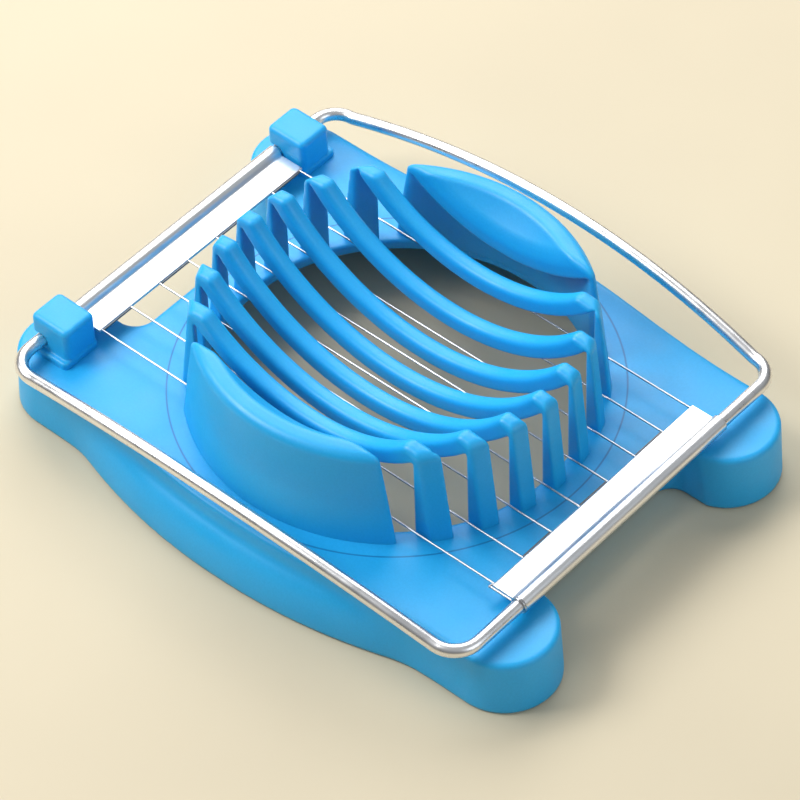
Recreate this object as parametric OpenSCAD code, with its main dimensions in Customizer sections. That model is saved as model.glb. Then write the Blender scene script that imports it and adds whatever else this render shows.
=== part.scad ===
// Hand egg slicer: a moulded base with a slatted egg cradle, and a hinged
// frame strung with cutting wires. Units: mm.
// Origin: centre of the round cradle, on the plane the base stands on.
// +Y runs towards the hinge, +Z up.

/* [Base] */
// Height of the deck above the table
deck_z = 11.7; // [10:0.1:14]
// Thickness of the deck plate
deck_t = 2.2; // [1.5:0.1:3]
// Thickness of the skirt wall
wall_t = 2.2; // [1.5:0.1:3]
// Half width of the base at the four corner lobes
half_w = 39.5; // [38:0.5:41]
// Half length of the base
half_l = 60.5; // [59.5:0.5:62]
// Radius of each corner lobe
lobe_r = 9.5; // [8.5:0.25:10]
// Half width of the flared waist at the table
waist_bottom = 47; // [45:0.5:49]
// Half width of the waist above its flare
waist_top = 42.8; // [41:0.2:43.5]
// How far the middle of the bowed sides lies towards the hinge
waist_y = 1; // [0:0.5:3]
// Height of the crease where the flare meets the upright side
crease_z = 8; // [6:0.5:9]
// Plan radius of the flared sides
waist_r = 110; // [95:1:130]
// Distance from the origin to the front notch
notch_front = 45.2; // [44:0.2:47]
// Distance from the origin to the rear notch
notch_rear = 43.7; // [43:0.1:45]
// Corner radius of the notches
notch_r = 4; // [2:0.5:5]

/* [Cradle] */
// Distance between neighbouring wires
pitch = 7.5; // [7.2:0.1:7.8]
// Width of a slat
slat_w = 3.3; // [3:0.1:3.5]
// Depth of a slat, square to its curve
slat_depth = 3.4; // [3:0.1:4.5]
// Radius of the round window in the deck
window_r = 34.8; // [34:0.1:35.2]
// Radius of the cradle's outer wall at the deck
cradle_r = 37.9; // [36.5:0.1:38.5]
// Radius of the cradle's outer wall at its rim
rim_r = 35.8; // [35:0.1:37]
// Height of the rim's outer edge
rim_z = 31.2; // [29:0.1:32]
// Height of the rim's inner edge
rim_peak_z = 31.8; // [30.5:0.1:33]
// Radius of the spherical hollow that holds the egg
scoop_r = 40.8; // [40:0.1:42]
// Height of that sphere's centre
scoop_z = 56.6; // [56:0.1:58]
// Distance from the origin to the flat inner face of an end block
block_x = 27.8; // [27.5:0.1:28.5]
// Radius of an end block's vertical corners
corner_r = 1.4; // [0.8:0.1:2]
// Radius of the shallow ring line moulded on the deck
ring_r = 40.7; // [39.5:0.1:41.5]

/* [Frame] */
// Radius of the round rod
rod_r = 1.25; // [1:0.05:1.4]
// Height of the rod's straight ends
rod_z = 14.6; // [14.3:0.1:15]
// Half width of the rod loop at its corners
rod_hw = 42.8; // [42:0.1:44]
// Distance from the origin to the front rod
rod_front = 51.3; // [50:0.1:52]
// Distance from the origin to the hinge axis
rod_rear = 53.3; // [52.5:0.1:54]
// Bend radius of the four corners
bend_r = 5; // [4:0.5:6]
// How far the side arms arch upwards
arch_up = 5.7; // [3:0.1:6]
// How far the side arms bow outwards
arch_out = 2.5; // [1:0.1:3]
// Sheet thickness of the wire strips
sheet_t = 0.3; // [0.25:0.05:0.5]
// Reach of the front strip, from the rod's axis
flange_front = 6.2; // [5:0.1:6.5]
// Reach of the rear strip, from the rod's axis
flange_rear = 6.7; // [6:0.1:7.5]
// Half length of the wire strips
strip_hl = 26.8; // [26.6:0.1:27]
// Radius of the cutting wire
wire_r = 0.2; // [0.15:0.01:0.25]

/* [Hinge clips] */
// Inner side of a clip, from the centre plane
clip_x0 = 27.3; // [27.1:0.1:27.8]
// Width of a clip
clip_w = 7.5; // [6.5:0.1:8]
// Front face of a clip
clip_y0 = 46.8; // [46:0.1:47.5]
// Rear end of a clip's overhang
clip_y1 = 55.7; // [55.3:0.1:56.5]
// Top of a clip
clip_z = 19.7; // [18.5:0.1:20.5]
// Running clearance round the rod
clip_gap = 0.06; // [0.02:0.01:0.1]
// Height of the mouth that the rod snaps through
mouth_h = 2.3; // [2:0.1:2.4]

/* [Hidden] */
$fn = 96;
blue = [0.09, 0.6, 0.9];
steel = [0.82, 0.82, 0.84];
e = 0.01;
lobe_x = half_w - lobe_r;
lobe_y = half_l - lobe_r;
flange_t = 2 * sheet_t;
notch_w = 0.7;
notch_d = 0.8;
arm_y0 = -rod_front + bend_r;
arm_y1 = rod_rear - bend_r;
arm_sag = sqrt(arch_up * arch_up + arch_out * arch_out);
arm_half = (arm_y1 - arm_y0) / 2;
arm_r = (arm_half * arm_half + arm_sag * arm_sag) / (2 * arm_sag);
arm_ang = asin(arm_half / arm_r);
arm_tilt = atan(arch_out / arch_up);
wire_y0 = -rod_front + flange_front - notch_d;
wire_y1 = rod_rear - flange_rear + notch_d;
plinth_z = rod_z - rod_r - clip_gap;

// ---- base ----

// Plan of the straight-sided part, inset by d
module base_plan(d) {
  difference() {
    union() {
      square([2 * (half_w - d), 2 * lobe_y], center = true);
      for (sx = [-1, 1]) for (sy = [-1, 1])
        translate([sx * lobe_x, sy * lobe_y]) circle(lobe_r - d);
    }
    notch_plan(notch_rear - d, notch_r + d, d);
    mirror([0, 1]) notch_plan(notch_front - d, notch_r + d, d);
  }
}

// Notch between two lobes, open towards +Y, with rounded inner corners
module notch_plan(y, r, d) {
  w = lobe_x - lobe_r + d;
  for (sx = [-1, 1]) translate([sx * (w - r), y + r]) circle(r);
  translate([-w, y + r]) square([2 * w, lobe_y - y - r + e]);
  translate([-(w - r), y]) square([2 * (w - r), r + 1]);
}

// Bowed sides between z0 and z1, inset by d at z0 and further by lean at z1
module waist(z0, z1, r, lean, d) {
  intersection() {
    intersection_for(s = [-1, 1])
      translate([s * (waist_r - waist_bottom), waist_y, z0])
        cylinder(r1 = r - d, r2 = r - lean - d, h = z1 - z0, $fn = 180);
    translate([-60, -40 + d, z0]) cube([120, 80 - 2 * d, z1 - z0]);
  }
}

// Flare up to the crease, then an upright side up to z1
module waist_band(z0, z1, d) {
  lean = waist_bottom - waist_top;
  if (z0 < crease_z) waist(z0, crease_z, waist_r, lean * (crease_z - z0) / crease_z, d);
  waist(max(z0, crease_z - e), z1, waist_r - lean, 0, d);
}

module outer_form(z0, z1) {
  translate([0, 0, z0]) linear_extrude(z1 - z0) base_plan(0);
  waist_band(z0, z1, 0);
}

module deck_plate() {
  color(blue) difference() {
    outer_form(deck_z - deck_t, deck_z);
    translate([0, 0, -1]) cylinder(r = window_r, h = deck_z + 2);
    translate([0, 0, deck_z - 0.15]) difference() {
      cylinder(r = ring_r + 0.15, h = 1);
      translate([0, 0, -1]) cylinder(r = ring_r - 0.15, h = 3);
    }
  }
}

// One quarter of the skirt wall under the deck
module skirt(sx, sy) {
  h = deck_z - deck_t;
  color(blue) intersection() {
    difference() {
      outer_form(0, h);
      translate([0, 0, -1]) linear_extrude(h + 2) base_plan(wall_t);
      waist_band(0, h + 1, wall_t);
      translate([0, 0, -1]) waist(0, 1 + e, waist_r, 0, wall_t);
    }
    translate([sx < 0 ? -60 : 0, sy < 0 ? -70 : 0, 0]) cube([60, 70, h]);
  }
}

// ---- cradle ----

// Outer shape of the cradle: a tapering ring wall with a slanted rim
module crown_outside() {
  translate([0, 0, deck_z]) cylinder(r1 = cradle_r, r2 = rim_r, h = rim_z - deck_z);
  translate([0, 0, rim_z - e]) cylinder(r1 = rim_r, r2 = 31, h = rim_peak_z - rim_z + e);
}

module slab(x0, x1) {
  translate([x0, -50, 0]) cube([x1 - x0, 100, 50]);
}

// Cylinder across the slats that cuts the scoop at distance x from the middle, sunk by d
module scoop_cut(x, d) {
  translate([-50, 0, scoop_z]) rotate([0, 90, 0])
    cylinder(r = sqrt(scoop_r * scoop_r - x * x) + d, h = 100, $fn = 180);
}

// Slat i of 7: level across its width, curved along its length
module slat(i) {
  x = (i - 4) * pitch;
  color(blue) intersection() {
    difference() {
      crown_outside();
      scoop_cut(x, 0);
      difference() {
        cylinder(r = window_r, h = rim_z);
        scoop_cut(x, slat_depth);
      }
    }
    slab(x - slat_w / 2, x + slat_w / 2);
  }
}

// Sharp tip that the rounding of an end block's vertical corner takes off
module corner_tip() {
  cx = block_x + corner_r;
  k = cradle_r / (cradle_r - corner_r);
  cy = sqrt(pow(cradle_r - corner_r, 2) - cx * cx);
  difference() {
    polygon([[cx, cy], [block_x - 1, cy], [block_x - 1, cy + 10], [cx * k * 1.04, cy * k * 1.04]]);
    translate([cx, cy]) circle(corner_r, $fn = 48);
  }
}

module end_block(s) {
  color(blue) mirror([s < 0 ? 1 : 0, 0, 0]) difference() {
    intersection() {
      crown_outside();
      slab(block_x, 45);
    }
    translate([0, 0, scoop_z]) sphere(scoop_r, $fn = 180);
    difference() {
      cylinder(r = window_r, h = rim_z);
      translate([0, 0, scoop_z]) sphere(scoop_r + slat_depth, $fn = 180);
    }
    for (t = [0, 1]) mirror([0, t, 0]) translate([0, 0, -1]) linear_extrude(40) corner_tip();
  }
}

// ---- hinge clips ----

module hinge_clip(s) {
  color(blue) mirror([s < 0 ? 1 : 0, 0, 0]) difference() {
    union() {
      translate([clip_x0, clip_y0, deck_z]) cube([clip_w, clip_y1 - clip_y0, clip_z - deck_z]);
      translate([clip_x0 - 0.3, clip_y0 - 0.6, deck_z])
        cube([clip_w + 2.1, clip_y1 - clip_y0, plinth_z - deck_z]);
    }
    translate([clip_x0 - 3, rod_rear, rod_z]) rotate([0, 90, 0])
      cylinder(r = rod_r + clip_gap, h = clip_w + 8, $fn = 64);
    translate([clip_x0 - 3, rod_rear, rod_z - mouth_h / 2]) cube([clip_w + 8, 6, mouth_h]);
  }
}

// ---- frame ----

module bend(x, y, a) {
  translate([x, y, rod_z]) rotate([0, 0, a])
    rotate_extrude(angle = 90) translate([bend_r, 0]) circle(rod_r, $fn = 32);
}

module bar(y) {
  translate([-rod_hw + bend_r, y, rod_z]) rotate([0, 90, 0])
    cylinder(r = rod_r, h = 2 * (rod_hw - bend_r), $fn = 64);
}

module arm() {
  translate([rod_hw, (arm_y0 + arm_y1) / 2, rod_z]) rotate([0, arm_tilt - 90, 0])
    translate([arm_sag - arm_r, 0, 0]) rotate([0, 0, -arm_ang])
      rotate_extrude(angle = 2 * arm_ang, $fn = 300) translate([arm_r, 0]) circle(rod_r, $fn = 32);
  for (y = [arm_y0, arm_y1]) translate([rod_hw, y, rod_z]) sphere(rod_r + 0.04, $fn = 32);
}

module bail_rod() {
  color(steel) {
    bar(-rod_front);
    bar(rod_rear);
    bend(rod_hw - bend_r, arm_y0, -90);
    bend(rod_hw - bend_r, arm_y1, 0);
    bend(-rod_hw + bend_r, arm_y1, 90);
    bend(-rod_hw + bend_r, arm_y0, 180);
    arm();
    mirror([1, 0, 0]) arm();
  }
}

// Sheet strip rolled round the rod, with a flange that reaches y = reach
module strip(reach) {
  difference() {
    union() {
      translate([-strip_hl, 0, 0]) rotate([0, 90, 0])
        cylinder(r = rod_r + sheet_t + 0.03, h = 2 * strip_hl, $fn = 64);
      translate([-strip_hl, 0, -flange_t / 2]) cube([2 * strip_hl, reach, flange_t]);
    }
    translate([-strip_hl - 1, 0, 0]) rotate([0, 90, 0])
      cylinder(r = rod_r + 0.03, h = 2 * strip_hl + 2, $fn = 64);
    for (i = [1 : 8]) translate([(i - 4.5) * pitch - notch_w / 2, reach - notch_d, -2])
      cube([notch_w, notch_d + 1, 4]);
  }
}

module front_wire_strip() {
  color(steel) translate([0, -rod_front, rod_z]) strip(flange_front);
}

module rear_wire_strip() {
  color(steel) translate([0, rod_rear, rod_z]) mirror([0, 1, 0]) strip(flange_rear);
}

module wire(i) {
  color(steel) translate([(i - 4.5) * pitch, wire_y0, rod_z]) rotate([-90, 0, 0])
    cylinder(r = wire_r, h = wire_y1 - wire_y0, $fn = 24);
}

// Length of wire that runs along a strip's edge from wire i to wire i + 1
module link(i, y) {
  color(steel) translate([(i - 4.5) * pitch + wire_r, y, rod_z]) rotate([0, 90, 0])
    cylinder(r = wire_r, h = pitch - 2 * wire_r, $fn = 24);
}

module rear_link(i) {
  link(i, rod_rear - flange_rear - wire_r);
}

module front_link(i) {
  link(i, -rod_front + flange_front + wire_r);
}

// Loop of wire round the rod, and its short tail along the front strip
module wire_tie() {
  x = -strip_hl - 0.4;
  y = -rod_front + flange_front + wire_r;
  color(steel) {
    translate([x, -rod_front, rod_z]) rotate([0, 90, 0])
      rotate_extrude() translate([rod_r + wire_r + 0.02, 0]) circle(wire_r, $fn = 24);
    translate([x, -rod_front + rod_r + wire_r, rod_z]) rotate([-90, 0, 0])
      cylinder(r = wire_r, h = flange_front - rod_r, $fn = 24);
    translate([x, y, rod_z]) rotate([0, 90, 0])
      cylinder(r = wire_r, h = strip_hl + 0.4 - 3.5 * pitch - wire_r, $fn = 24);
    translate([x, y, rod_z]) sphere(wire_r * 1.6, $fn = 32);
  }
}

deck_plate();
skirt(-1, -1);  // left_front_skirt
skirt(-1, 1);  // left_rear_skirt
skirt(1, -1);  // right_front_skirt
skirt(1, 1);  // right_rear_skirt
end_block(-1);  // left_end_block
end_block(1);  // right_end_block
slat(1);  // slat_1
slat(2);  // slat_2
slat(3);  // slat_3
slat(4);  // slat_4
slat(5);  // slat_5
slat(6);  // slat_6
slat(7);  // slat_7
hinge_clip(-1);  // left_hinge_clip
hinge_clip(1);  // right_hinge_clip
bail_rod();
front_wire_strip();
rear_wire_strip();
wire(1);  // wire_1
wire(2);  // wire_2
wire(3);  // wire_3
wire(4);  // wire_4
wire(5);  // wire_5
wire(6);  // wire_6
wire(7);  // wire_7
wire(8);  // wire_8
rear_link(1);  // rear_link_1_2
front_link(2);  // front_link_2_3
rear_link(3);  // rear_link_3_4
front_link(4);  // front_link_4_5
rear_link(5);  // rear_link_5_6
front_link(6);  // front_link_6_7
rear_link(7);  // rear_link_7_8
wire_tie();
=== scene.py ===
import math

import bpy
import numpy as np
from mathutils import Matrix, Vector


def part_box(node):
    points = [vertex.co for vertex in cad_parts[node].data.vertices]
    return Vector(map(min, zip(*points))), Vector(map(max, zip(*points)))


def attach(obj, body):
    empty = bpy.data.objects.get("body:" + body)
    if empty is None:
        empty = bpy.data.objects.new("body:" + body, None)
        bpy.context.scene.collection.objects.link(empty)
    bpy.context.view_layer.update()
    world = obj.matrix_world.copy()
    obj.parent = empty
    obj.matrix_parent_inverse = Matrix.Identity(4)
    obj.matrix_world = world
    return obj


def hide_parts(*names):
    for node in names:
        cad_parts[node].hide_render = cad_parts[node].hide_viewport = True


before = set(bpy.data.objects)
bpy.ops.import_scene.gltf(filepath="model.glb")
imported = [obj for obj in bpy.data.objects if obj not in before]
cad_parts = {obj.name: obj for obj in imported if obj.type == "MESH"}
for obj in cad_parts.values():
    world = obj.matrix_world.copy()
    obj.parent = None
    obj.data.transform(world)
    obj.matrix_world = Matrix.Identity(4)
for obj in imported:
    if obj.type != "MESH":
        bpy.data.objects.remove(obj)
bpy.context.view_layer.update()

MM = 0.001
Z_UP = Vector((0, 0, 1))


# ---------------------------------------------------------------- sizes, mm

def node_mm(name):
    """The box of a CAD node, as its two corners."""
    lo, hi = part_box(name)
    return np.array(lo) / MM, np.array(hi) / MM


def middles_x(kind, count):
    """The x of the middle of each numbered node of a kind."""
    return [sum(corner[0] for corner in node_mm(f"{kind}_{i}")) / 2 for i in range(1, count + 1)]


rod_lo, rod_hi = node_mm("bail_rod")
slat_lo, slat_hi = node_mm("slat_4")

# Rod: radius, axis, half width between the arms, corners, and the rise and outward lean of the arms' arch
ROD_R = 1.25
BALL_REACH = 1.284  # how far below the rod's axis the CAD's balls between arms and corners reach
ROD_Z = rod_lo[2] + BALL_REACH
ROD_FRONT = -rod_lo[1] - ROD_R
ROD_REAR = rod_hi[1] - ROD_R
ROD_HW, BEND_R, ARCH_UP, ARCH_OUT = 42.8, 5.0, 5.7, 2.5

# Strips: sheet, clearance round the rod, and how far each flange reaches from the rod's axis
SHEET_T, SHEET_GAP = 0.3, 0.03
FLANGE_FRONT, FLANGE_REAR = 6.2, 6.7
# The bevel of a flange's end, the groove between its two leaves, and the rows of points just inside
# the strip's edges, which keep its flat faces flat under smooth shading
BEVEL, SEAM_HALF, SEAM_DEPTH = 0.12, 0.03, 0.05
END_ROW, SUPPORT = 0.05, 0.4
NECK_TURN = 0.10  # radians of the roll left out on each side of the flange

# Base: shell, half sizes at the feet, feet, notches between the feet, and the bowed long sides
DECK_Z = node_mm("deck_plate")[1][2]
WALL, DECK_T = 2.1, 2.2
HALF_W, HALF_L = 39.5, 60.5
FOOT_R, FOOT_DRAFT = 10.1, 0.6
NOTCH_FRONT, NOTCH_REAR, NOTCH_W, NOTCH_R = 45.2, 43.7, 20.5, 4.0
BOW, BOW_HALF_L, BOW_LEAN = 3.0, 45.0, 0.16
WAIST_X, WAIST_R, WAIST_Y, BELLY_Z = 46.85, 110.0, 1.0, 9.4
BELLY_HIDDEN, BELLY_ROOT, SINK_BLEND, CREASE_R = 1.6, 1.5, 1.0, 0.6
REAR_SPREAD, SPREAD_Y = 0.8, 40.0
DECK_EDGE_R, DECK_UNDER_R, SKIRT_EDGE_R, FOOT_EDGE_R, WINDOW_EDGE_R = 0.9, 0.8, 0.35, 0.3, 0.5
SHARP = 0.01  # the radius of an edge that another shape covers

# Cradle: window, tapering ring wall, slanted rim, the egg's scoop, slats and end blocks
WINDOW_R, CRADLE_R, RIM_R = 34.8, slat_hi[1], 35.8
RIM_Z, RIM_PEAK_Z, RIM_PEAK_R = 31.2, 31.8, 31.0
SCOOP_R, SCOOP_Z, BAR_DEPTH = 40.8, 56.6, 3.4
CROWN_R, CROWN_EDGE_R, PEAK_R = 1.5, 1.2, 0.7
SLAT_W, SLAT_CORNER_R = slat_hi[0] - slat_lo[0], 0.45
BLOCK_X, BLOCK_CORNER_R = 27.8, 1.4
BAR_CORNER_R, BAR_EDGE_R = 0.5, 0.4
SUNK, SUNK_INSET = 0.9, 0.7  # the roots' depth in the deck, and how far inside the window's edge they start
RING_R = 40.7
FAR_INSIDE = -9.0  # a field's value where it cuts nothing

# Clips: block, the plinth under the rod, and the mouth behind the bore
CLIP_X0, CLIP_X1, CLIP_Y0, CLIP_Y1 = 27.3, 34.8, 46.8, 55.7
PLINTH_OUT, PLINTH_FRONT, PLINTH_DROP = 1.1, 0.25, 0.3
BORE_GAP, MOUTH_HALF, CLIP_SUNK = 0.06, 1.15, 0.6
CLIP_CORNER_R, CLIP_TOP_R, PLINTH_CORNER_R, PLINTH_TOP_R = 1.2, 1.1, 1.0, 0.5
CLIP_FILLET_R, MOUTH_FILLET_R, BORE_EDGE_R = 0.3, 0.25, 0.2

# Points along the rod's corners, arms and straight bars, round a strip's roll, and along a strip
CORNER_POINTS, ARM_POINTS, BAR_POINTS, ROLL_POINTS, STRIP_ROWS = 10, 61, 24, 44, 60

# Grids of the meshed pieces: half sizes of the base's, room round the others' CAD boxes, and steps
BASE_REACH, BASE_MARGIN = (48.6, 61.0), 0.4
SLAT_MARGIN, BLOCK_MARGIN, CLIP_MARGIN, CLIP_MARGIN_BELOW = 0.3, 1.5, 0.3, 1.0
BASE_STEP = 0.42
CRADLE_STEP, CLIP_STEP = 0.42, 0.24


# ---------------------------------------------------------------- material nodes

def shade(name, slot, build):
    """A material for a slot, its nodes made by build(node tree, shader)."""
    m = bpy.data.materials.new(name)
    m.use_nodes = True
    nt = m.node_tree
    for n in list(nt.nodes):
        if n.type not in {"OUTPUT_MATERIAL", "BSDF_PRINCIPLED"}:
            nt.nodes.remove(n)
    build(nt, nt.nodes["Principled BSDF"])
    m["slot"] = slot
    return m


def link(nt, a, b):
    """Joins output a to input b."""
    nt.links.new(a, b)


def node(nt, kind, inputs=None, **settings):
    """A new node, with its settings and the values of its inputs."""
    n = nt.nodes.new(kind)
    for k, v in settings.items():
        setattr(n, k, v)
    for k, v in (inputs or {}).items():
        n.inputs[k].default_value = v
    return n


def object_coords(nt):
    return node(nt, "ShaderNodeTexCoord").outputs["Object"]


def noise(nt, coord, scale, detail=3.0, rough=0.5):
    n = node(nt, "ShaderNodeTexNoise", {"Scale": scale, "Detail": detail, "Roughness": rough})
    link(nt, coord, n.inputs["Vector"])
    return n.outputs["Fac"]


def ramp(nt, fac, stops):
    """Colours along fac, from (position, colour) stops in rising order."""
    n = node(nt, "ShaderNodeValToRGB")
    e = n.color_ramp.elements
    e[0].position, e[0].color = stops[0][0], (*stops[0][1], 1)
    e[1].position, e[1].color = stops[-1][0], (*stops[-1][1], 1)
    for p, c in stops[1:-1]:
        e.new(p).color = (*c, 1)
    link(nt, fac, n.inputs["Fac"])
    return n.outputs["Color"]


def spread(nt, fac, lo, hi, from_lo=0.3, from_hi=0.7):
    """fac from from_lo..from_hi to lo..hi."""
    limits = {"From Min": from_lo, "From Max": from_hi, "To Min": lo, "To Max": hi}
    n = node(nt, "ShaderNodeMapRange", limits)
    link(nt, fac, n.inputs["Value"])
    return n.outputs["Result"]


def bump(nt, bsdf, height, strength, distance):
    """Fine relief on a shader's normal; distance is in metres."""
    n = node(nt, "ShaderNodeBump", {"Strength": strength, "Distance": distance})
    link(nt, height, n.inputs["Height"])
    link(nt, n.outputs["Normal"], bsdf.inputs["Normal"])


# ---------------------------------------------------------------- materials

CLOUD_STOPS = [(0.3, (0.012, 0.405, 0.800)), (0.7, (0.018, 0.435, 0.845))]
GRAIN_STOPS = [(0.32, (0.006, 0.375, 0.785)), (0.68, (0.014, 0.430, 0.865))]
# The dark hairline round the cradle is painted shade, in place of the shade in its ring groove
GROOVE_SHADE_COLOUR = (0.004, 0.20, 0.50, 1)
FLOOR_STOPS = [(0.3, (0.635, 0.55, 0.395)), (0.7, (0.69, 0.60, 0.43))]
DARK_STREAK = 0.93  # a steel's darkest streaks, as a share of its colour
ROD_COLOUR, STRIP_COLOUR = (0.84, 0.84, 0.85), (0.86, 0.865, 0.88)
# The links' dark colour is painted shade: they sit in the flanges' shadow
WIRE_COLOUR, LINK_SHADE_COLOUR = (0.55, 0.55, 0.56), (0.16, 0.17, 0.18)
WIRE_GRAIN = (3000, 300, 3000)


def groove_shade_line(nt, co):
    """0 on the hairline of painted shade in the groove round the cradle, 1 elsewhere."""
    half_line, fade = 0.08 * MM, 0.16 * MM
    xyz = node(nt, "ShaderNodeSeparateXYZ")
    link(nt, co, xyz.inputs["Vector"])
    flat = node(nt, "ShaderNodeCombineXYZ")
    link(nt, xyz.outputs["X"], flat.inputs["X"])
    link(nt, xyz.outputs["Y"], flat.inputs["Y"])
    radius = node(nt, "ShaderNodeVectorMath", operation="LENGTH")
    link(nt, flat.outputs["Vector"], radius.inputs[0])
    off = node(nt, "ShaderNodeMath", {1: RING_R * MM}, operation="SUBTRACT")
    link(nt, radius.outputs["Value"], off.inputs[0])
    distance = node(nt, "ShaderNodeMath", operation="ABSOLUTE")
    link(nt, off.outputs["Value"], distance.inputs[0])
    return spread(nt, distance.outputs["Value"], 0.0, 1.0, half_line, half_line + fade)


def plastic(nt, b, groove_shade=False):
    """Satin blue plastic, slightly translucent, with painted shade along the ring groove when asked."""
    co = object_coords(nt)
    cloud = ramp(nt, noise(nt, co, 55.0), CLOUD_STOPS)
    grain = ramp(nt, noise(nt, co, 2600.0, 2.0), GRAIN_STOPS)
    mix = node(nt, "ShaderNodeMix", data_type="RGBA")
    mix.inputs["Factor"].default_value = 0.5
    link(nt, cloud, mix.inputs["A"])
    link(nt, grain, mix.inputs["B"])
    colour = mix.outputs["Result"]
    if groove_shade:
        groove_shade_mix = node(nt, "ShaderNodeMix", data_type="RGBA")
        groove_shade_mix.inputs["A"].default_value = GROOVE_SHADE_COLOUR
        link(nt, groove_shade_line(nt, co), groove_shade_mix.inputs["Factor"])
        link(nt, colour, groove_shade_mix.inputs["B"])
        colour = groove_shade_mix.outputs["Result"]
    link(nt, colour, b.inputs["Base Color"])
    link(nt, spread(nt, noise(nt, co, 140.0, 4.0), 0.34, 0.48), b.inputs["Roughness"])
    b.inputs["IOR"].default_value = 1.49
    b.inputs["Subsurface Weight"].default_value = 0.25
    b.inputs["Subsurface Radius"].default_value = (0.2, 0.8, 1.0)
    b.inputs["Subsurface Scale"].default_value = 0.0016
    bump(nt, b, noise(nt, co, 1500.0), 0.10, 0.06 * MM)


# Plastic with the ring groove's painted shade, for the deck
def groove_shaded_plastic(nt, b):
    plastic(nt, b, groove_shade=True)


def steel(colour, roughness, grain, depth=0.03):
    """Bright steel with drawing or rolling streaks; grain is the streaks' scale along x, y and z."""
    def build(nt, b):
        mapping = node(nt, "ShaderNodeMapping", {"Scale": grain})
        link(nt, object_coords(nt), mapping.inputs["Vector"])
        along = mapping.outputs["Vector"]
        streak = noise(nt, along, 1.0, 4.0, 0.6)
        dark = tuple(c * DARK_STREAK for c in colour)
        link(nt, ramp(nt, streak, [(0.3, dark), (0.65, colour)]), b.inputs["Base Color"])
        b.inputs["Metallic"].default_value = 1.0
        link(nt, spread(nt, noise(nt, along, 2.3), *roughness), b.inputs["Roughness"])
        bump(nt, b, streak, depth, 0.03 * MM)
    return build


def floor_paint(nt, b):
    """Plain pale floor, faintly clouded."""
    cloud = noise(nt, object_coords(nt), 9.0)
    link(nt, ramp(nt, cloud, FLOOR_STOPS), b.inputs["Base Color"])
    b.inputs["Roughness"].default_value = 0.75


BLUE = shade("blue_plastic", "blue_plastic", plastic)
DECK_BLUE = shade("blue_plastic_deck", "blue_plastic", groove_shaded_plastic)
ROD_STEEL = shade("drawn_rod", "steel_rod", steel(ROD_COLOUR, (0.24, 0.34), (260, 120, 260), 0.008))
STRIP_STEEL = shade("rolled_sheet", "steel_strip", steel(STRIP_COLOUR, (0.28, 0.38), (40, 700, 700), 0.012))
# Steel darkened with painted shade, for the links under the flanges
LINK_SHADE_STEEL = shade("shadowed_wire", "steel_wire", steel(LINK_SHADE_COLOUR, (0.3, 0.45), WIRE_GRAIN))
WIRE_STEEL = shade("drawn_wire", "steel_wire", steel(WIRE_COLOUR, (0.24, 0.36), WIRE_GRAIN))


# ---------------------------------------------------------------- mesh tools

def add_mesh(name, verts, faces, mat, body, nodes):
    """A smooth piece in place of CAD nodes, from points in mm."""
    me = bpy.data.meshes.new(name)
    points = [tuple(v) for v in np.asarray(verts, float) * MM]
    me.from_pydata(points, [], [tuple(int(i) for i in f) for f in faces])
    me.validate()
    me.update()
    me.shade_smooth()
    ob = bpy.data.objects.new(name, me)
    bpy.context.collection.objects.link(ob)
    me.materials.append(mat)
    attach(ob, body)
    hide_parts(*nodes)


def meet(a, b, r):
    """Both solids at once, with the edge between them rounded to radius r."""
    u, v = np.maximum(a + r, 0), np.maximum(b + r, 0)
    return np.minimum(np.maximum(a, b), -r) + np.hypot(u, v)


def join(a, b, r):
    """Either solid, with a fillet of radius r between them."""
    return -meet(-a, -b, r)


def between(v, lo, hi):
    """Negative between two planes."""
    return np.abs(v - (lo + hi) / 2) - (hi - lo) / 2


def cell_corners(shape, axis, o1, o2):
    """Slices of the near and far ends of the grid edges along an axis, at one corner of each cell."""
    near = [slice(0, m - 1) for m in shape]
    far = list(near)
    for k, o in zip([k for k in range(3) if k != axis], (o1, o2)):
        near[k] = far[k] = slice(o, shape[k] - 1 + o)
    far[axis] = slice(1, shape[axis])
    return tuple(near), tuple(far)


def cell_points(v, grid, h):
    """A point in each cell that the surface crosses (the mean of its edge crossings), and the cells."""
    shape = np.array(v.shape)
    total = np.zeros((*(shape - 1), 3))
    count = np.zeros(shape - 1)
    for axis in range(3):
        for o1, o2 in ((0, 0), (0, 1), (1, 0), (1, 1)):
            near, far = cell_corners(shape, axis, o1, o2)
            v0, v1 = v[near], v[far]
            cross = (v0 < 0) != (v1 < 0)
            p = np.stack([g[near] for g in grid], -1)
            p[..., axis] += h * np.where(cross, v0 / np.where(cross, v0 - v1, 1), 0)
            total += p * cross[..., None]
            count += cross
    cells = tuple(np.argwhere(count > 0).T)
    return total[cells] / count[cells][:, None], cells


def settle(f, verts, h, rounds=4, eps=0.01):
    """Moves points onto the surface f = 0 along its slope, at most 0.6 of a grid step each round."""
    furthest, least_slope, tiny = 0.6 * h, 0.25, 1e-9
    for _ in range(rounds):
        slope = np.stack([(f(*(verts + d).T) - f(*(verts - d).T)) / (2 * eps) for d in eps * np.eye(3)], -1)
        move = -(f(*verts.T) / np.maximum((slope ** 2).sum(-1), least_slope))[:, None] * slope
        size = np.linalg.norm(move, axis=-1, keepdims=True)
        verts = verts + move * np.minimum(1, furthest / np.maximum(size, tiny))
    return verts


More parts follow.
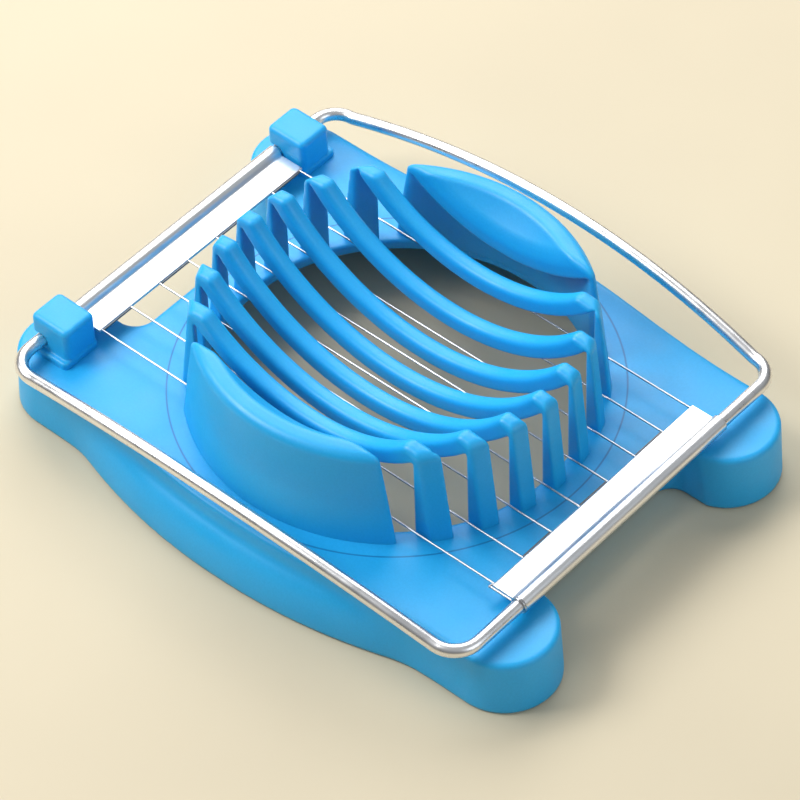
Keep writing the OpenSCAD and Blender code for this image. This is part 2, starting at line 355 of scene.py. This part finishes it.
def cell_faces(v, cells):
    """A quad across each grid edge that the surface crosses, between the four cells round the edge."""
    shape = np.array(v.shape)
    index = -np.ones(shape - 1, int)
    index[cells] = np.arange(len(cells[0]))
    inside = v < 0
    faces = []
    for axis in range(3):
        e1, e2 = [k for k in range(3) if k != axis]
        near = [slice(1, m - 1) for m in shape]
        far = list(near)
        near[axis], far[axis] = slice(0, shape[axis] - 1), slice(1, shape[axis])
        first, second = inside[tuple(near)], inside[tuple(far)]
        for flip, hit in ((False, first & ~second), (True, ~first & second)):
            start = np.ones(3, int)
            start[axis] = 0
            edge = np.argwhere(hit) + start
            corners = []
            for o1, o2 in ((1, 1), (0, 1), (0, 0), (1, 0)):
                k = edge.copy()
                k[:, e1] -= o1
                k[:, e2] -= o2
                corners.append(index[tuple(k.T)])
            quads = np.stack(corners, -1)
            faces.append(quads[:, ::-1] if flip ^ (axis == 1) else quads)
    return np.concatenate(faces)


def skin(f, lo, hi, h):
    """A quad mesh on the surface f(x, y, z) = 0, from a grid of step h (surface nets)."""
    axes = [np.arange(a - h, b + 2 * h, h) for a, b in zip(lo, hi)]
    grid = np.meshgrid(*axes, indexing="ij")
    v = f(*grid)
    verts, cells = cell_points(v, grid, h)
    return settle(f, verts, h), cell_faces(v, cells)


def grid_faces(rows, cols, close_rows=False, close_cols=False):
    """Quads of a grid of points, closed round on itself where asked."""
    faces = []
    for i in range(rows if close_rows else rows - 1):
        for j in range(cols if close_cols else cols - 1):
            i2, j2 = (i + 1) % rows, (j + 1) % cols
            faces.append((i * cols + j, i2 * cols + j, i2 * cols + j2, i * cols + j2))
    return faces


# ---------------------------------------------------------------- camera

# Solved from the photograph with a wire spacing of 7 mm, then scaled to the real 7.5 mm
CAM_SCALE = 7.5 / 7
CAM_AZIMUTH, CAM_ELEVATION, CAM_ROLL = (math.radians(a) for a in (-47.1986, 47.4344, -2.0766))
CAM_TARGET, CAM_DISTANCE = Vector((4.6193, 3.7111, 0)) * CAM_SCALE * MM, 764.259 * CAM_SCALE * MM
CAM_LENS, CAM_SENSOR = 205.52, 36


def place_camera():
    level = math.cos(CAM_ELEVATION)
    back = Vector((math.sin(CAM_AZIMUTH) * level, -math.cos(CAM_AZIMUTH) * level, math.sin(CAM_ELEVATION)))
    right = Z_UP.cross(back).normalized()
    up = back.cross(right)
    rolled_right = right * math.cos(CAM_ROLL) + up * math.sin(CAM_ROLL)
    rolled_up = up * math.cos(CAM_ROLL) - right * math.sin(CAM_ROLL)
    cam = bpy.data.objects.new("camera", bpy.data.cameras.new("camera"))
    bpy.context.collection.objects.link(cam)
    turn = Matrix((rolled_right, rolled_up, back)).transposed()
    cam.matrix_world = Matrix.Translation(CAM_TARGET + back * CAM_DISTANCE) @ turn.to_4x4()
    cam.data.sensor_width = CAM_SENSOR
    cam.data.lens = CAM_LENS
    cam.data.clip_start, cam.data.clip_end = 0.01, 20
    bpy.context.scene.camera = cam


place_camera()


# ---------------------------------------------------------------- base

def side_field(ax, y, z):
    """The long side: a leaning band above the crease, a bowed convex belly below it."""
    bow = 0.5 + 0.5 * np.cos(math.pi * np.clip(np.abs(y) / BOW_HALF_L, 0, 1))
    edge_x = HALF_W + BOW * bow
    band = ax - edge_x - (FOOT_DRAFT / DECK_Z + BOW_LEAN * bow) * (DECK_Z - z)
    # The belly's reach at the table: an arc in plan, which sinks smoothly into the band towards the feet
    hidden_x = HALF_W + FOOT_DRAFT - BELLY_HIDDEN
    spare = np.sqrt(WAIST_R ** 2 - (y - WAIST_Y) ** 2) - WAIST_R + WAIST_X - hidden_x
    bottom_x = hidden_x + (spare + np.hypot(spare, SINK_BLEND)) / 2
    # Its section is a quarter of an ellipse from inside the band down to the table; q over its slope
    # is close to the distance in mm
    root = edge_x - BELLY_ROOT
    reach = bottom_x - root
    u, w = np.maximum(ax - root, 0) / reach, np.maximum(z, 0) / BELLY_Z
    q = np.hypot(u, w)
    slope = np.hypot(u / reach, w / BELLY_Z) / np.maximum(q, 1e-6)
    return join(band, (q - 1) / np.maximum(slope, 0.05), CREASE_R)


def base_field(x, y, z):
    """The moulding's hollow base: long sides, four feet, notches between them and the window."""
    ax, ay = np.abs(x), np.abs(y)
    wide = ax - REAR_SPREAD * np.clip(y / SPREAD_Y, 0, 1)
    foot_r = FOOT_R - FOOT_DRAFT * z / DECK_Z
    foot_x, foot_y = HALF_W + FOOT_DRAFT - FOOT_R, HALF_L - FOOT_R
    band = meet(side_field(wide, y, z), ay - foot_y, SHARP)
    feet = np.hypot(wide - foot_x, ay - foot_y) - foot_r
    notch_y = np.where(y > 0, NOTCH_REAR, NOTCH_FRONT)
    notch = meet(ax - NOTCH_W, notch_y - ay, NOTCH_R)
    solid = np.maximum(np.minimum(band, feet), -notch)
    outer = meet(solid, z - DECK_Z, DECK_EDGE_R)
    hollow = meet(solid + WALL, z - (DECK_Z - DECK_T), DECK_UNDER_R)
    shell = meet(meet(outer, -hollow, SKIRT_EDGE_R), -z, FOOT_EDGE_R)
    return meet(shell, WINDOW_R - np.hypot(x, y), WINDOW_EDGE_R)


def add_base():
    reach_x, reach_y = BASE_REACH
    lo, hi = (-reach_x, -reach_y, -BASE_MARGIN), (reach_x, reach_y, DECK_Z + BASE_MARGIN)
    v, f = skin(base_field, lo, hi, BASE_STEP)
    skirts = [f"{side}_{end}_skirt" for side in ("left", "right") for end in ("front", "rear")]
    add_mesh("moulded_base", v, f, DECK_BLUE, "base", ["deck_plate", *skirts])


# ---------------------------------------------------------------- cradle

def crown_field(x, y, z, cut, scoop, corner):
    """The tapering ring wall, kept where cut < 0 and where the scoop's depth field scoop < 0."""
    rr = np.hypot(x, y)
    outer = rr - (CRADLE_R + (RIM_R - CRADLE_R) * (z - DECK_Z) / (RIM_Z - DECK_Z))
    dr, dz = RIM_R - RIM_PEAK_R, RIM_PEAK_Z - RIM_Z
    rim = ((rr - RIM_R) * dz + (z - RIM_Z) * dr) / math.hypot(dr, dz)
    top = meet(rim, scoop, PEAK_R)
    shape = meet(meet(outer, top, CROWN_R), cut, corner)
    shape = np.maximum(shape, meet(top, cut, CROWN_EDGE_R))
    under = meet(rr - WINDOW_R, scoop + BAR_DEPTH, BAR_CORNER_R)
    shape = meet(shape, -under, BAR_EDGE_R)
    root = np.where(rr > WINDOW_R - SUNK_INSET, DECK_Z - SUNK - z, FAR_INSIDE)
    return np.maximum(shape, root)


def slat_field(cx):
    """A slat at x = cx; its scoop is level across its width."""
    level_r = math.sqrt(SCOOP_R ** 2 - cx ** 2)

    def field(x, y, z):
        scoop = level_r - np.hypot(y, z - SCOOP_Z)
        return crown_field(x, y, z, np.abs(x - cx) - SLAT_W / 2, scoop, SLAT_CORNER_R)
    return field


def block_field(side):
    """The end block on the side -1 or 1."""
    def field(x, y, z):
        scoop = SCOOP_R - np.sqrt(x * x + y * y + (z - SCOOP_Z) ** 2)
        return crown_field(x, y, z, BLOCK_X - side * x, scoop, BLOCK_CORNER_R)
    return field


def add_cradle():
    for i, cx in enumerate(middles_x("slat", 7), 1):
        lo, hi = node_mm(f"slat_{i}")
        v, f = skin(slat_field(cx), lo - SLAT_MARGIN, hi + SLAT_MARGIN, CRADLE_STEP)
        add_mesh(f"cradle_slat_{i}", v, f, BLUE, "base", [f"slat_{i}"])
    for name, side in (("left", -1), ("right", 1)):
        lo, hi = node_mm(f"{name}_end_block")
        v, f = skin(block_field(side), lo - BLOCK_MARGIN, hi + BLOCK_MARGIN, CRADLE_STEP)
        add_mesh(f"{name}_block", v, f, BLUE, "base", [f"{name}_end_block"])


# ---------------------------------------------------------------- hinge clips

def clip_field(top, side):
    """The clip on the side -1 or 1: a block on a plinth, bored for the rod and open behind it."""
    plinth_z = ROD_Z - ROD_R - BORE_GAP - PLINTH_DROP

    def field(x, y, z):
        ax = side * x
        plan = meet(between(ax, CLIP_X0, CLIP_X1), between(y, CLIP_Y0, CLIP_Y1), CLIP_CORNER_R)
        block = meet(plan, z - top, CLIP_TOP_R)
        wide = between(ax, CLIP_X0, CLIP_X1 + PLINTH_OUT)
        plinth_plan = meet(wide, between(y, CLIP_Y0 - PLINTH_FRONT, CLIP_Y1), PLINTH_CORNER_R)
        body = join(block, meet(plinth_plan, z - plinth_z, PLINTH_TOP_R), CLIP_FILLET_R)
        bore = np.hypot(y - ROD_REAR, z - ROD_Z) - (ROD_R + BORE_GAP)
        mouth = np.maximum(np.abs(z - ROD_Z) - MOUTH_HALF, ROD_REAR - y)
        body = meet(body, -join(bore, mouth, MOUTH_FILLET_R), BORE_EDGE_R)
        return np.maximum(body, DECK_Z - CLIP_SUNK - z)
    return field


def add_clips():
    for name, side in (("left", -1), ("right", 1)):
        lo, hi = node_mm(f"{name}_hinge_clip")
        below = (CLIP_MARGIN, CLIP_MARGIN, CLIP_MARGIN_BELOW)
        v, f = skin(clip_field(hi[2], side), lo - below, hi + CLIP_MARGIN, CLIP_STEP)
        add_mesh(f"{name}_clip", v, f, BLUE, "base", [f"{name}_hinge_clip"])


# ---------------------------------------------------------------- frame: rod

def corner_points(cx, cy, start, end):
    """A bend of the rod in its own plane, round (cx, cy)."""
    turns = np.radians(np.linspace(start, end, CORNER_POINTS))
    return [(cx + BEND_R * math.cos(a), cy + BEND_R * math.sin(a), ROD_Z) for a in turns]


def arm_points(y0, y1):
    """The right arm from y0 to y1: a flat arc that rises and leans out."""
    sag = math.hypot(ARCH_UP, ARCH_OUT)
    half = (y1 - y0) / 2
    big = (half * half + sag * sag) / (2 * sag)
    points = []
    turn = math.asin(half / big)
    for a in np.linspace(-turn, turn, ARM_POINTS):
        lift = (big * math.cos(a) - (big - sag)) / sag
        points.append((ROD_HW + lift * ARCH_OUT, (y0 + y1) / 2 + big * math.sin(a), ROD_Z + lift * ARCH_UP))
    return points


def rod_path():
    """The closed loop of the rod's axis."""
    x = ROD_HW - BEND_R
    y0, y1 = -ROD_FRONT + BEND_R, ROD_REAR - BEND_R
    right = corner_points(x, y0, -90, 0)[:-1] + arm_points(y0, y1) + corner_points(x, y1, 0, 90)[1:]
    left = [(-px, py, pz) for px, py, pz in reversed(right)]
    inner = np.linspace(-x, x, BAR_POINTS)[1:-1]
    rear = [(px, ROD_REAR, ROD_Z) for px in reversed(inner)]
    front = [(px, -ROD_FRONT, ROD_Z) for px in inner]
    return right + rear + left + front


def closed_tube(path, radius, sides=32):
    """A round tube along a closed loop that is nowhere upright."""
    p = np.asarray(path, float)
    t = np.roll(p, -1, 0) - np.roll(p, 1, 0)
    t /= np.linalg.norm(t, axis=1, keepdims=True)
    verts = []
    for k in range(len(p)):
        u = np.cross(t[k], (0, 0, 1.0))
        u /= np.linalg.norm(u)
        w = np.cross(t[k], u)
        for a in 2 * math.pi * np.arange(sides) / sides:
            verts.append(p[k] + radius * (math.cos(a) * u + math.sin(a) * w))
    return verts, grid_faces(len(p), sides, close_rows=True, close_cols=True)


def add_rod():
    v, f = closed_tube(rod_path(), ROD_R)
    add_mesh("rod", v, f, ROD_STEEL, "wire_frame", ["bail_rod"])


# ---------------------------------------------------------------- frame: strips

def strip_section(reach):
    """Closed outline (y, z) of a sheet rolled round the rod, both ends laid together as a flange."""
    t, r = SHEET_T, ROD_R + SHEET_GAP + SHEET_T
    start = math.asin(t / r) + NECK_TURN
    turns = np.linspace(start, 2 * math.pi - start, ROLL_POINTS)
    roll = [(r * math.cos(a), r * math.sin(a)) for a in turns]
    # From the roll through a small fillet into the flange
    upper = [(r * 1.02, t + 0.10), (r * 1.14, t + 0.01), (r * 1.3, t), (r * 1.45, t), (reach - SUPPORT, t)]
    # The flange's end, with the joint of its two leaves
    lip = [(reach - BEVEL, t), (reach, t - BEVEL), (reach, SEAM_HALF)]
    lower = [(y, -z) for y, z in upper]
    under_lip = [(y, -z) for y, z in lip]
    return roll + lower + under_lip + [(reach - SEAM_DEPTH, 0.0)] + lip[::-1] + upper[::-1]


def add_strip(name, node_name, rod_y, side, reach):
    """A strip round the rod at rod_y, with its flange towards the side -1 or 1 of y."""
    lo, hi = node_mm(node_name)
    section = strip_section(reach)
    rows = np.linspace(lo[0] + SUPPORT, hi[0] - SUPPORT, STRIP_ROWS)
    xs = np.concatenate([[lo[0], lo[0] + END_ROW], rows, [hi[0] - END_ROW, hi[0]]])
    verts = [(x, rod_y + side * y, ROD_Z + z) for x in xs for y, z in section]
    faces = grid_faces(len(xs), len(section), close_cols=True)
    faces.append(tuple(range(len(section))))
    faces.append(tuple(range((len(xs) - 1) * len(section), len(xs) * len(section)))[::-1])
    if side > 0:
        faces = [face[::-1] for face in faces]
    add_mesh(name, verts, faces, STRIP_STEEL, "wire_frame", [node_name])


def finish_wires():
    """The strand keeps its CAD meshes: bright runs, and turns given a dark steel of painted shade for the
    flanges' shadow.
    """
    for name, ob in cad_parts.items():
        if name.startswith("wire_") or "_link_" in name:
            ob.data.materials.clear()
            ob.data.materials.append(LINK_SHADE_STEEL if "_link_" in name else WIRE_STEEL)


# ---------------------------------------------------------------- stage

# Metres and watts. Each light: name, place, target, size, power, colour
FLOOR_SIZE, FLOOR_CELLS, FLOOR_Z = 3.0, 24, -0.0003
LIGHTS = [
    ("key", (-0.38, 0.52, 0.66), (0, 0, 0), 0.42, 6.0, (1, 1, 1)),
    ("back", (0.34, 0.36, 0.50), (0, 0, 0), 0.60, 4.0, (1, 1, 1)),
    ("front", (0.05, -0.70, 0.42), (0, 0, 0.01), 0.50, 1.3, (0.86, 0.94, 1.0)),
]
SKY_STOPS = [(0.0, (0.26, 0.25, 0.24)), (0.35, (0.40, 0.41, 0.42)), (0.8, (0.78, 0.80, 0.82))]
SKY_STRENGTH = 0.50


def area_light(name, place, target, size, power, colour):
    d = bpy.data.lights.new(name, "AREA")
    d.energy, d.color, d.size = power, colour, size
    ob = bpy.data.objects.new(name, d)
    bpy.context.collection.objects.link(ob)
    ob.location = place
    ob.rotation_euler = (Vector(target) - Vector(place)).to_track_quat("-Z", "Y").to_euler()


def sky(world):
    """A bright ceiling fading to a dimmer horizon."""
    world.use_nodes = True
    nt = world.node_tree
    xyz = node(nt, "ShaderNodeSeparateXYZ")
    link(nt, node(nt, "ShaderNodeTexCoord").outputs["Generated"], xyz.inputs["Vector"])
    link(nt, ramp(nt, xyz.outputs["Z"], SKY_STOPS), nt.nodes["Background"].inputs["Color"])
    nt.nodes["Background"].inputs["Strength"].default_value = SKY_STRENGTH


def add_floor():
    me = bpy.data.meshes.new("floor")
    steps = (np.arange(FLOOR_CELLS + 1) / FLOOR_CELLS - 0.5) * FLOOR_SIZE
    points = [(x, y, FLOOR_Z) for x in steps for y in steps]
    me.from_pydata(points, [], grid_faces(FLOOR_CELLS + 1, FLOOR_CELLS + 1))
    ob = bpy.data.objects.new("floor", me)
    bpy.context.collection.objects.link(ob)
    me.materials.append(shade("floor_paint", "", floor_paint))


def stage():
    world = bpy.data.worlds.new("studio")
    bpy.context.scene.world = world
    sky(world)
    for light in LIGHTS:
        area_light(*light)
    add_floor()


# ---------------------------------------------------------------- the scene

add_base()
add_cradle()
add_clips()
add_rod()
add_strip("front_strip", "front_wire_strip", -ROD_FRONT, 1, FLANGE_FRONT)
add_strip("rear_strip", "rear_wire_strip", ROD_REAR, -1, FLANGE_REAR)
finish_wires()
stage()
bpy.context.scene.view_settings.view_transform = "Standard"
